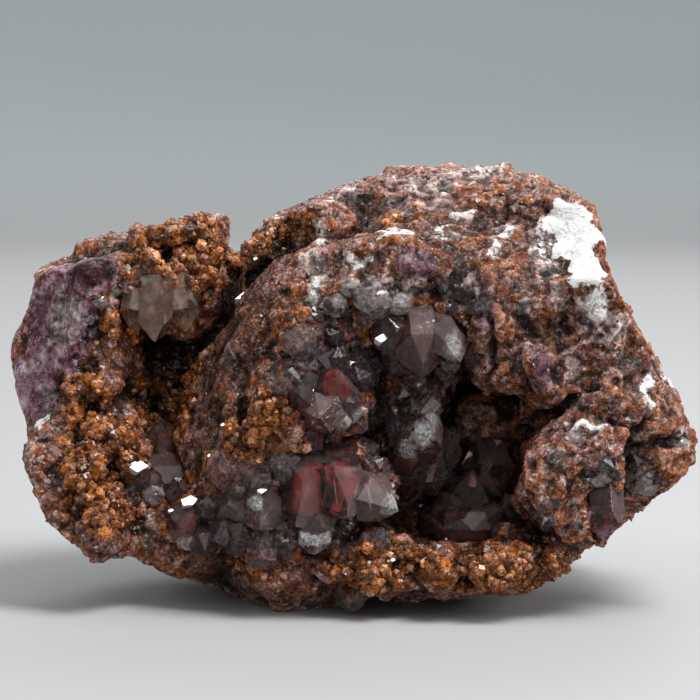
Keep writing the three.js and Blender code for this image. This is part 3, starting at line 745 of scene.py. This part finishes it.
SMOKY = (0.6, 0.48, 0.44)
WINE = (0.52, 0.3, 0.36)
GLASS_OF = {
    "front_quartz_cluster": clear_quartz("front_smoky_quartz", SMOKY, 90, 0.2, [
        ((6, -24.5, 15.0), (1.9, 3, 2.4)), ((-7, -24.5, 11.0), (4.5, 3, 1.1)),
        ((-3, -26, 11.0), (4, 3, 0.9)), ((-12.5, -24, 15.6), (1.4, 3, 1.0))]),
    "middle_quartz_cluster": clear_quartz("middle_amethyst", WINE, 110, 0.12, [
        ((0.5, -21, 34.6), (1.6, 4, 1.1)), ((1.2, -23.5, 27), (0.9, 3, 1.1))]),
    "roof_quartz_cluster": clear_quartz("roof_amethyst", WINE, 110, 0.14, [
        ((13.6, -19, 35.8), (1.3, 4, 2.0))]),
    "frosted_quartz_point": clear_quartz("frosted_quartz", SMOKY, 110, 0.25, [
        ((11.4, -20, 27), (1.5, 5, 2.4)), ((9.8, -20.5, 24.4), (1.4, 5, 2)),
        ((7.6, -19.5, 22), (1.2, 5, 1.6))]),
    "right_amethyst_point": clear_quartz("right_amethyst", (0.6, 0.3, 0.46), 110, 0.15, [
        ((34.5, -24, 9.6), (5, 6, 2.4))], film_and_painted_reflection=(0.36, 0.22, 0.3), dust=(0.62, 0.42, 0.5)),
    "left_amethyst_points": clear_quartz("left_amethyst", WINE, 110, 0.15),
    "foot_quartz_point": clear_quartz("foot_quartz", (0.75, 0.52, 0.38), 80, 0.4,
                                      film_and_painted_reflection=(0.36, 0.22, 0.14), body=(0.7, 0.5, 0.34)),
    "hanging_quartz_points": clear_quartz("hanging_quartz", (0.85, 0.52, 0.3), 170, 0.4,
                                          film_and_painted_reflection=(0.45, 0.23, 0.12), body=(1.0, 0.78, 0.6),
                                          dust=(0.9, 0.7, 0.6)),
    "central_pocket_quartz": clear_quartz("pocket_amethyst", WINE, 110, 0.12),
    "left_pocket_quartz": clear_quartz("left_pocket_quartz", SMOKY, 90, 0.2),
}
for name, glass in GLASS_OF.items():
    crystal = nodes[name]
    crystal.data.materials.clear()
    crystal.data.materials.append(glass)
    weld = crystal.modifiers.new("weld", "WELD")
    weld.merge_threshold = SAME_PLACE
    ease = crystal.modifiers.new("ease", "BEVEL")
    ease.width = EDGE_EASE
    ease.segments = 2
    ease.limit_method = "ANGLE"
    ease.angle_limit = EASED_ANGLE


# ---------------------------------------------------------------- red inclusions and healed cracks
# Blood-red iron-stained cores that grew inside the clear crystals, and thin healed cracks that
# shine in them. Each is a small closed body sealed in its crystal.

# Middle, radius, height and lean to the right in degrees, all in mm but the lean.
RED_CORES = [
    ((-5.2, -22.6, 17.0), 2.3, 6.2, 4),
    ((-0.8, -22.5, 18.2), 1.6, 4.2, -30),
    ((-1.2, -24.2, 16.0), 0.9, 3.0, 20),
    ((-1.8, -21.0, 30.8), 1.5, 3.2, -10),
    ((-21.8, -18.0, 11.9), 1.0, 2.0, 10),
]
# Two ends of each crack and how deep it runs behind its front edge, in mm.
HEALED_CRACKS = [
    ((-2.2, -24.7, 19.4), (-1.5, -25.2, 15.6), 1.2),
    ((-10.4, -22.2, 15.4), (-11.8, -22.8, 13.2), 1.0),
    ((2.2, -23.4, 17.6), (2.8, -23.2, 14.8), 1.0),
]
CRACK_THICKNESS = 0.12
CRACK_RUN = Vector((0.25, 1, 0))


def red_core(middle, radius, height, lean):
    """A six-sided column with well-rounded edges and ends."""
    form = bmesh.new()
    bmesh.ops.create_cone(form, cap_ends=True, segments=6, radius1=radius, radius2=0.88 * radius,
                          depth=height)
    bmesh.ops.bevel(form, geom=form.edges[:], offset=0.42 * radius, segments=4, profile=0.5,
                    affect="EDGES", material=-1)
    turn = Matrix.Rotation(math.radians(lean), 3, "Y")
    bmesh.ops.rotate(form, verts=form.verts, matrix=turn)
    bmesh.ops.translate(form, verts=form.verts, vec=middle)
    return form


def healed_crack(start, end, depth):
    """A thin plate between two ends."""
    form = bmesh.new()
    start, end, back = Vector(start), Vector(end), CRACK_RUN * depth
    corners = [form.verts.new(corner) for corner in (start, end, end + back, start + back)]
    face = form.faces.new(corners)
    form.normal_update()
    bmesh.ops.solidify(form, geom=[face], thickness=CRACK_THICKNESS)
    bmesh.ops.recalc_face_normals(form, faces=form.faces)
    return form


def joined_forms(forms):
    """One mesh, in metres, of several closed forms in mm."""
    whole = bmesh.new()
    for form in forms:
        add_form(whole, form)
    bmesh.ops.scale(whole, vec=(MM, MM, MM), verts=whole.verts)
    mesh = bpy.data.meshes.new("joined_forms")
    whole.to_mesh(mesh)
    whole.free()
    return mesh


def two_toned(name, size, darker, lighter, **finish):
    """A finish of two tones in soft clouds, each a place in the clouds and a colour."""
    made, shader, place = new_material(name)
    feed(shader, Base_Color=ramp(cloud(place, size, 3.0), [darker, lighter]), **finish)
    return made


iron_red = two_toned("iron_red", 1.8, (0.35, (0.2, 0.016, 0.012)), (0.65, (0.62, 0.07, 0.045)),
                     Roughness=0.7)
crack_silver = two_toned("crack_silver", 0.6, (0.35, (0.3, 0.24, 0.25)), (0.65, (0.75, 0.7, 0.72)),
                         Roughness=0.25)
red_cores = joined_forms([red_core(*core) for core in RED_CORES])
red_cores.shade_smooth()
new_piece("red_cores", "rock", red_cores, iron_red)
healed_cracks = joined_forms([healed_crack(*crack) for crack in HEALED_CRACKS])
new_piece("healed_cracks", "quartz", healed_cracks, crack_silver)


# ---------------------------------------------------------------- druse
# Thousands of small quartz points, chips and rounded grains, rusty or clear, that crust the rock. Each
# is a closed form whose foot is sunk in the rock, and they are grown in sowings by size and place.

RUST_TINTS = [(0.21, 0.066, 0.02), (0.33, 0.115, 0.038), (0.12, 0.04, 0.015), (0.42, 0.19, 0.085),
              (0.08, 0.026, 0.012)]
BROWN_TINTS = [(0.12, 0.045, 0.028), (0.2, 0.08, 0.05), (0.07, 0.027, 0.018), (0.3, 0.16, 0.12)]
PURPLE_TINTS = [(0.1, 0.055, 0.075), (0.2, 0.14, 0.165), (0.34, 0.28, 0.3)]
SMOKY_TINTS = [(0.5, 0.36, 0.34), (0.4, 0.25, 0.25), (0.55, 0.45, 0.44), (0.42, 0.24, 0.28)]
WHITE_TINTS = [(0.8, 0.78, 0.76), (0.55, 0.48, 0.45)]
CLEAR_TINTS = [(0.5, 0.45, 0.44), (0.4, 0.3, 0.3), (0.35, 0.2, 0.2)]
# The largest of a sowing against its typical size, and how much room each needs above the ground.
LARGEST = 1.7
GROUND_ROOM = 1.2


def point_shape(foot, shoulder, tip):
    """A closed six-sided point of radius 1, from its foot below 0 to its shoulder and its tip."""
    form = bmesh.new()
    bmesh.ops.create_cone(form, cap_ends=True, segments=6, radius1=0.9, radius2=1,
                          depth=foot + shoulder)
    bmesh.ops.translate(form, verts=form.verts, vec=(0, 0, (shoulder - foot) / 2))
    top = max(form.faces, key=lambda face: face.calc_center_median().z)
    crown = bmesh.ops.poke(form, faces=[top])["verts"][0]
    crown.co = (0.15, 0.1, tip)
    return form


def chip_shape():
    """A closed low four-sided chip of radius 1."""
    form = bmesh.new()
    bmesh.ops.create_cone(form, cap_ends=True, segments=4, radius1=1, radius2=0.45, depth=1.2)
    return form


def grain_shape():
    """A closed rounded grain of radius 1, low and uneven."""
    form = bmesh.new()
    bmesh.ops.create_uvsphere(form, u_segments=7, v_segments=5, radius=1)
    for vert in form.verts:
        vert.co *= 1 + 0.6 * noise.noise(vert.co * 1.3)
        vert.co.z *= 0.75
    return form


def joined_copies(form, places, turns, sizes, tints):
    """One mesh of many copies of a small form, each with its own place, turn, size and tint."""
    corners = np.array([v.co for v in form.verts])
    faces = [[v.index for v in face.verts] for face in form.faces]
    form.free()
    copies = len(places)
    spread = np.einsum("nij,vj->nvi", turns, corners) * sizes[:, None, :1] + places[:, None, :]
    loops = np.concatenate(faces)
    starts = np.concatenate([[0], np.cumsum([len(face) for face in faces])[:-1]])
    each = np.arange(copies)[:, None]
    mesh = bpy.data.meshes.new("joined_copies")
    mesh.vertices.add(copies * len(corners))
    mesh.vertices.foreach_set("co", spread.astype(np.float32).ravel())
    mesh.loops.add(copies * len(loops))
    mesh.loops.foreach_set("vertex_index", (loops + len(corners) * each).astype(np.int32).ravel())
    mesh.polygons.add(copies * len(faces))
    mesh.polygons.foreach_set("loop_start", (starts + len(loops) * each).astype(np.int32).ravel())
    mesh.update(calc_edges=True)
    mesh.shade_flat()
    layer = mesh.attributes.new("tint", "FLOAT_COLOR", "POINT")
    colours = np.repeat(np.hstack([tints, np.ones((copies, 1))]), len(corners), axis=0)
    layer.data.foreach_set("color", colours.astype(np.float32).ravel())
    return mesh


rock_points, rock_normals, _ = arrays_of(rock_mesh)
rock_mesh.calc_loop_triangles()
rock_tris = np.empty(len(rock_mesh.loop_triangles) * 3, np.int32)
rock_mesh.loop_triangles.foreach_get("vertices", rock_tris)
rock_tris = rock_tris.reshape(-1, 3)
rock_layers = {}
for stain in rock_stains:
    rock_layers[stain] = np.empty(len(rock_points), np.float32)
    rock_mesh.attributes[stain].data.foreach_get("value", rock_layers[stain])
rock_corners = rock_points[rock_tris]
rock_sides = [rock_corners[:, end] - rock_corners[:, 0] for end in (1, 2)]
rock_areas = np.linalg.norm(np.cross(*rock_sides), axis=1)


def sow(form, seed, count, size, spread, tilt, sink, share, tint_of):
    """
    Grows about count copies of a form on the rock. Size is a typical radius in mm and spread how
    much it varies, tilt is how far they lean at random, sink is how deep they sit in radii, and
    share gives each spot's chance.
    """
    roll = np.random.default_rng(seed)
    chance = rock_areas * share(rock_points[rock_tris].mean(axis=1) / MM,
                                {k: v[rock_tris].mean(axis=1) for k, v in rock_layers.items()})
    picked = roll.choice(len(rock_tris), count, p=chance / chance.sum())
    weights = roll.dirichlet((1, 1, 1), count)
    corners = rock_tris[picked]
    places = np.einsum("nk,nkj->nj", weights, rock_points[corners])
    normals = np.einsum("nk,nkj->nj", weights, rock_normals[corners])
    stains = {k: np.einsum("nk,nk->n", weights, v[corners]) for k, v in rock_layers.items()}
    lean = normals + tilt * roll.normal(size=(count, 3))
    up = lean / np.linalg.norm(lean, axis=1, keepdims=True)
    side = np.cross(up, roll.normal(size=(count, 3)))
    side /= np.linalg.norm(side, axis=1, keepdims=True)
    radius = size * MM * np.exp(spread * roll.normal(size=(count, 1)))
    radius = np.minimum(radius, LARGEST * size * MM)
    turns = np.stack([side, np.cross(up, side), up], axis=2)
    places = places - normals * radius * sink
    keep = places[:, 2] - GROUND_ROOM * radius[:, 0] > 0
    tints = tint_of(roll, stains)
    return joined_copies(form, places[keep], turns[keep], radius[keep], tints[keep])


def drawn(roll, palette, count):
    """Random tints from a palette, each a little lighter or darker."""
    picked = np.array(palette)[roll.integers(len(palette), size=count)]
    return picked * np.exp(0.3 * roll.normal(size=(count, 1)))


def rock_tints(roll, stains):
    """Tints that follow the stains of the rock below, and are painted darker in its hollows and dark
    spots.
    """
    count = len(stains["rust"])
    tints = drawn(roll, BROWN_TINTS, count)
    for stain, palette in (("rust", RUST_TINTS), ("purple", PURPLE_TINTS), ("white", WHITE_TINTS)):
        over = stains[stain] + 0.12 * roll.normal(size=count) > 0.4
        tints[over] = drawn(roll, palette, over.sum())
    # Painted shade: copies in the rock's hollows and dark spots are darkened, and those on its peaks a
    # little lightened.
    shade = (1 - 0.6 * stains["dark_and_shade"]) * np.clip(1.05 - 0.9 * stains["hollow"], 0.15, 1.1)
    return tints * shade[:, None]


def druse_quartz(name, gloss, clearness, unevenness):
    """Small glossy quartz whose tint is its own, with thin rust unevenly on it."""
    quartz, shader, place = new_material(name)
    tint = shader_node(quartz.node_tree, "Attribute", attribute_name="tint").outputs["Color"]
    film_and_painted_reflection = cloud(place, 0.5, 4.0)
    feed(shader, Base_Color=blend(1.0, tint, span(film_and_painted_reflection, 0.35, 0.68, 0.35, 1.7), "MULTIPLY"),
         Roughness=span(film_and_painted_reflection, 0.35, 0.65, gloss, gloss + 0.35), IOR=QUARTZ_IOR,
         Transmission_Weight=clearness, Normal=raised(film_and_painted_reflection, unevenness, 0.2))
    return quartz


def open_rock(stains):
    """The share of rock that no crystal covers."""
    return np.clip(1 - 1.6 * stains["behind_glass"], 0, 1)


def gritty_rock(places, stains):
    """The share of fine grit, which is thin on the white, purple and glassy parts."""
    bare = np.clip(1.6 * stains["white"] + 0.6 * stains["purple"] + stains["glassy"], 0, 1)
    return open_rock(stains) * (0.4 + 0.6 * stains["rust"]) * (1 - bare)


def rusty_rock(places, stains):
    """The share of rusty druse, which also creeps up to the feet of the crystals."""
    return open_rock(stains) * np.clip(stains["rust"] + 0.6 * stains["rim"], 0, 1) ** 1.3


def wine_rock(places, stains):
    """The share of smoky points, which stand on the wine-red rock out of its deepest hollows."""
    wine = np.clip(stains["wine"] - 0.5 * stains["rust"], 0, 1) ** 1.5
    return open_rock(stains) * wine * (stains["hollow"] < 0.6)


def glassy_rock(places, stains):
    """The share of clear points, which stop short of the right-hand end."""
    return open_rock(stains) * np.clip(stains["glassy"], 0, 1) ** 2 * (places[:, 0] < 43)


RUSTY_DRUSE = druse_quartz("rusty_druse", gloss=0.1, clearness=0.0, unevenness=0.4)
CLEAR_DRUSE = druse_quartz("clear_druse", gloss=0.03, clearness=0.9, unevenness=0.06)
grit = sow(chip_shape(), 3, 11000, size=0.22, spread=0.35, tilt=0.5, sink=0.3, share=gritty_rock,
           tint_of=rock_tints)
new_piece("fine_grit", "rock", grit, RUSTY_DRUSE)
coarse = sow(point_shape(0.9, 0.35, 0.95), 5, 6000, size=0.46, spread=0.45, tilt=0.55, sink=0.5,
             share=rusty_rock, tint_of=rock_tints)
new_piece("coarse_druse", "rock", coarse, RUSTY_DRUSE)
grains = sow(grain_shape(), 7, 2400, size=0.27, spread=0.45, tilt=0.6, sink=0.35, share=rusty_rock,
             tint_of=rock_tints)
grains.shade_smooth()
new_piece("rusty_grains", "rock", grains, RUSTY_DRUSE)
for name, seed, count, size in (("large_smoky_points", 11, 60, 1.7),
                                ("middle_smoky_points", 12, 170, 1.0),
                                ("small_smoky_points", 13, 330, 0.55)):
    smoky = sow(point_shape(1.3, 0.35, 1.1), seed, count, size, spread=0.25, tilt=0.45, sink=0.35,
                share=wine_rock, tint_of=lambda roll, st: drawn(roll, SMOKY_TINTS, len(st["wine"])))
    new_piece(name, "quartz", smoky, CLEAR_DRUSE)
clear = sow(point_shape(1.4, 0.3, 1.4), 9, 160, size=0.8, spread=0.35, tilt=0.5, sink=0.4,
            share=glassy_rock, tint_of=lambda roll, st: drawn(roll, CLEAR_TINTS, len(st["rust"])))
new_piece("small_quartz_points", "quartz", clear, CLEAR_DRUSE)


# ---------------------------------------------------------------- pocket points, lumps, bright faces
# Dark amethyst points deep in the central pocket, broken glassy lumps on the brow and the lobes, and
# a few smooth crystal faces that throw the light back. Each is closed and set in the skin at a listed
# place.

# Foot, way they point, radius and length, in mm.
POCKET_POINTS = [
    ((19.6, -5.5, 17.6), (-0.12, -0.9, 0.12), 4.4, 10.5),
    ((13.6, -5.0, 18.4), (-0.1, -0.8, 0.3), 3.0, 9),
    ((24.0, -9.0, 12.2), (-0.35, -0.8, 0.1), 2.6, 8),
    ((12.6, -10.5, 21.4), (0.2, -0.7, 0.4), 2.2, 5),
    ((10.4, -13.0, 17.6), (0.1, -0.8, -0.1), 2.6, 5),
    ((21.4, -10, 9.6), (0.1, -0.8, 0.35), 2.0, 6),
]
# A place near the skin and a radius, in mm.
GLASSY_LUMPS = [
    ((3.0, -19.2, 42.2), 2.8), ((6.6, -19.3, 41.4), 2.2), ((0.2, -18.2, 43.4), 1.5),
    ((-2.1, -18.7, 41.0), 2.2), ((-4.9, -18.3, 41.6), 1.4), ((13.4, -12.5, 49.3), 1.2),
    ((32.9, -24, 19.8), 2.5), ((39.3, -19.2, 17.9), 2.5), ((29.2, -25, 23.6), 1.4),
    ((-22, -18.6, 9.2), 1.4), ((-1.4, -22.9, 26.6), 1.5), ((-33.4, -11.5, 41.6), 1.3),
    ((-26.6, -17, 14.6), 1.6), ((44.2, -16, 22), 2.0),
]
# A place near the skin and a radius, in mm, and how many sides.
BRIGHT_FACES = [
    ((-27.2, -16.5, 19.0), 1.1, 4), ((-21.0, -18.5, 16.0), 1.0, 5), ((-16.4, -7.6, 42.0), 0.9, 3),
    ((-23.2, -6.0, 50.0), 0.5, 5), ((3.4, -19.8, 36.6), 0.85, 4), ((-11.8, -24.4, 17.4), 0.6, 4),
    ((-4.0, -22.4, 26.2), 0.5, 3), ((-28.8, -17.0, 20.0), 0.4, 5), ((-20.0, -18.6, 21.4), 0.3, 5),
    ((-17.6, -18.8, 25.6), 0.3, 4), ((-26.0, -18.4, 14.0), 0.35, 4), ((-14.6, -9, 47), 0.3, 4),
    ((7, -26.6, 7.4), 0.3, 4), ((16, -27, 6.4), 0.3, 5), ((13.4, -17.2, 40.8), 0.35, 4),
]
BRIGHT_FACING = Vector((0.246, -0.754, 0.609))
rock_skin = BVHTree.FromPolygons([tuple(co) for co in rock_points], [tuple(tri) for tri in rock_tris])
crystal_skin = crystal_faces()


def on_the_skin(place):
    """The nearest place on the rock or on a crystal, whichever is closer."""
    found = [tree.find_nearest(Vector(place) * MM) for tree in (rock_skin, crystal_skin)]
    return min(found, key=lambda hit: hit[3])[0] / MM


def pocket_point(foot, toward, radius, length):
    """A closed six-sided point that grows out of the pocket's wall."""
    form = point_shape(0, (length - radius) / radius, length / radius)
    bmesh.ops.scale(form, verts=form.verts, vec=(radius, 0.85 * radius, radius))
    turn = Vector(toward).to_track_quat("Z", "X").to_matrix()
    bmesh.ops.rotate(form, verts=form.verts, matrix=turn)
    bmesh.ops.translate(form, verts=form.verts, vec=foot)
    return form


def glassy_lump(place, radius):
    """A closed angular lump, part sunk."""
    form = bmesh.new()
    bmesh.ops.create_icosphere(form, subdivisions=3, radius=1)
    for vert in form.verts:
        vert.co *= 1 + 0.24 * chips(vert.co + Vector(place), 1.1)
    bmesh.ops.scale(form, verts=form.verts, vec=(radius, 0.75 * radius, 0.85 * radius))
    seat = on_the_skin(place) + Vector((0, 0.3, 0)) * radius
    bmesh.ops.translate(form, verts=form.verts, vec=seat)
    return form


def bright_face(place, radius, sides):
    """A closed stub of a crystal with one flat face turned to the light."""
    form = bmesh.new()
    bmesh.ops.create_cone(form, cap_ends=True, segments=sides, radius1=0.7 * radius, radius2=radius,
                          depth=1.6 * radius)
    skew = Matrix(((1.2, 0.35, 0), (0, 0.8, 0), (0, 0, 1)))
    turn = BRIGHT_FACING.to_track_quat("Z", "Y").to_matrix() @ skew
    bmesh.ops.transform(form, verts=form.verts, matrix=turn.to_4x4())
    bmesh.ops.translate(form, verts=form.verts, vec=on_the_skin(place) + 0.1 * radius * BRIGHT_FACING)
    return form


dark_amethyst = clear_quartz("dark_amethyst", (0.5, 0.26, 0.32), 160, 0.1)
broken_quartz = clear_quartz("broken_quartz", (0.7, 0.6, 0.57), 90, 0.85, clouding=(0.34, 0.56),
                             dust=(1, 0.88, 0.83))
bright_quartz = two_toned("bright_quartz", 0.5, (0.35, (0.4, 0.36, 0.34)), (0.6, (0.7, 0.68, 0.66)),
                          Roughness=0.08, Specular_IOR_Level=1.0)
for name, slot, quartz, make, wanted in (
        ("pocket_points", "amethyst", dark_amethyst, pocket_point, POCKET_POINTS),
        ("glassy_lumps", "quartz", broken_quartz, glassy_lump, GLASSY_LUMPS),
        ("bright_faces", "quartz", bright_quartz, bright_face, BRIGHT_FACES)):
    new_piece(name, slot, joined_forms([make(*values) for values in wanted]), quartz)
